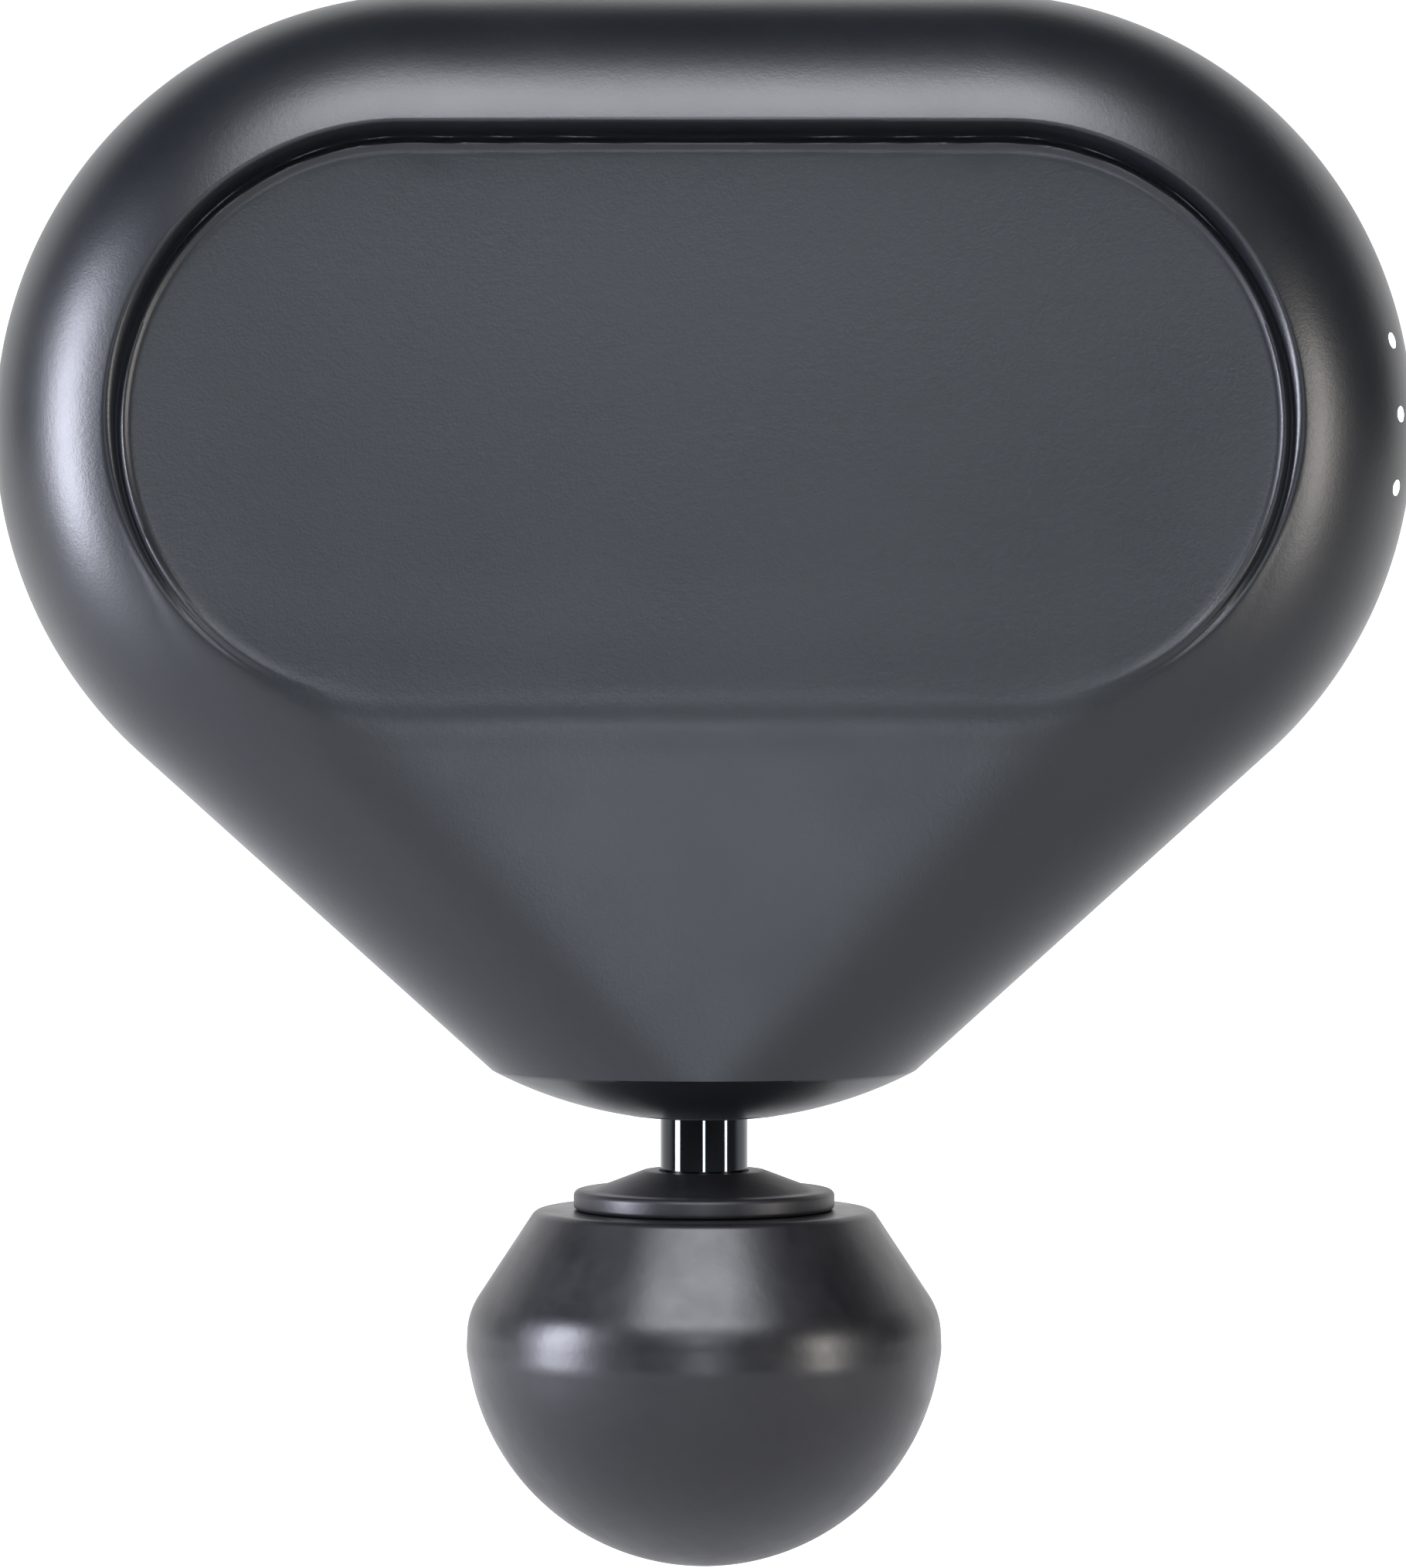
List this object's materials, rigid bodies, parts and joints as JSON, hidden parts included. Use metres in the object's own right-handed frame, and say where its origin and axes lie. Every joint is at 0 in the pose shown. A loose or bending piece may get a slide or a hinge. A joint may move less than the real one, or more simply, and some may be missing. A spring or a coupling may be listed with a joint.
{
  "type": "massage gun",
  "caption": "Compact handheld percussion massager with a rounded-triangle two-grip body, polished shaft and ball head.",
  "frame": {"origin": "lowest point of the ball head, on the shaft's axis", "axes": "+Z from the head towards the flat top of the body, -Y towards the front face, +X towards the edge with the button"},
  "size_m": [0.137, 0.0462, 0.152],
  "materials": {
    "soft_skin": "matte soft-touch, fine grain",
    "shell": "matte",
    "screw": "zinc plated",
    "seal": "matte",
    "alloy": "as cast",
    "bronze": "sintered bronze",
    "bearing": "ground",
    "core_steel": "satin",
    "copper": "enamelled copper wire",
    "magnet": "nickel plated",
    "nylon": "moulded",
    "dark_steel": "polished dark steel",
    "cell_wrap": "shrink-wrapped cell, weighs about as much as solid aluminium",
    "nickel": "nickel",
    "lead": "insulated wire",
    "board": "solder mask",
    "chip": "moulded",
    "lamp": "clear",
    "lens": "glowing white",
    "button": "matte",
    "insert": "satin moulded",
    "foam": "matte closed-cell foam"
  },
  "bodies": {
    "housing": {"front_skin": "soft_skin", "rear_skin": "soft_skin", "front_shell": "shell", "rear_shell": "shell", "casing_screws": "screw", "frame_screws": "screw", "board_screws": "screw", "nose_seal": "seal", "drive_frame": "alloy", "guide_bushes": "bronze", "isolation_grommets": "seal", "motor_base": "alloy", "motor_bearings": "bearing", "stator_core": "core_steel", "stator_windings": "copper", "battery_cells": "cell_wrap", "battery_tabs": "nickel", "battery_leads": "lead", "battery_saddles": "shell", "control_board": "board", "board_components": "chip", "side_board": "board", "status_lamps": "lamp", "led_lenses": "lens", "tactile_switch": "chip", "port_board": "board", "charge_socket": "nickel"},
    "rotor": {"rotor_can": "core_steel", "rotor_magnets": "magnet", "motor_shaft": "bearing", "crank_disc": "core_steel", "crank_pin": "bearing", "crank_roller": "bronze"},
    "ram": {"drive_yoke": "nylon", "yoke_pin": "bearing", "massage_shaft": "dark_steel", "grip_rings": "seal"},
    "head": {"head_core": "insert", "head_foam": "foam"},
    "button": {"power_button": "button", "switch_plunger": "shell"}
  },
  "joints": [
    {"name": "crank_turn", "type": "hinge", "parent": "housing", "child": "rotor", "pos_m": [0, 0, 0.1], "axis": [0, 1, 0], "range_deg": [0, 180]},
    {"name": "shaft_stroke", "type": "slide", "parent": "housing", "child": "ram", "axis": [0, 0, -1], "range_m": [0, 0.012]},
    {"name": "head_pull_off", "type": "slide", "parent": "ram", "child": "head", "axis": [0, 0, -1], "range_m": [0, 0.026]},
    {"name": "button_press", "type": "slide", "parent": "housing", "child": "button", "axis": [-1, 0, 0], "range_m": [0, 0.0006], "stiffness_N_per_m": 800}
  ],
  "couplings": [
    {"joint": "shaft_stroke", "follows": "crank_turn", "m_per_rad": 0.0038197}
  ]
}
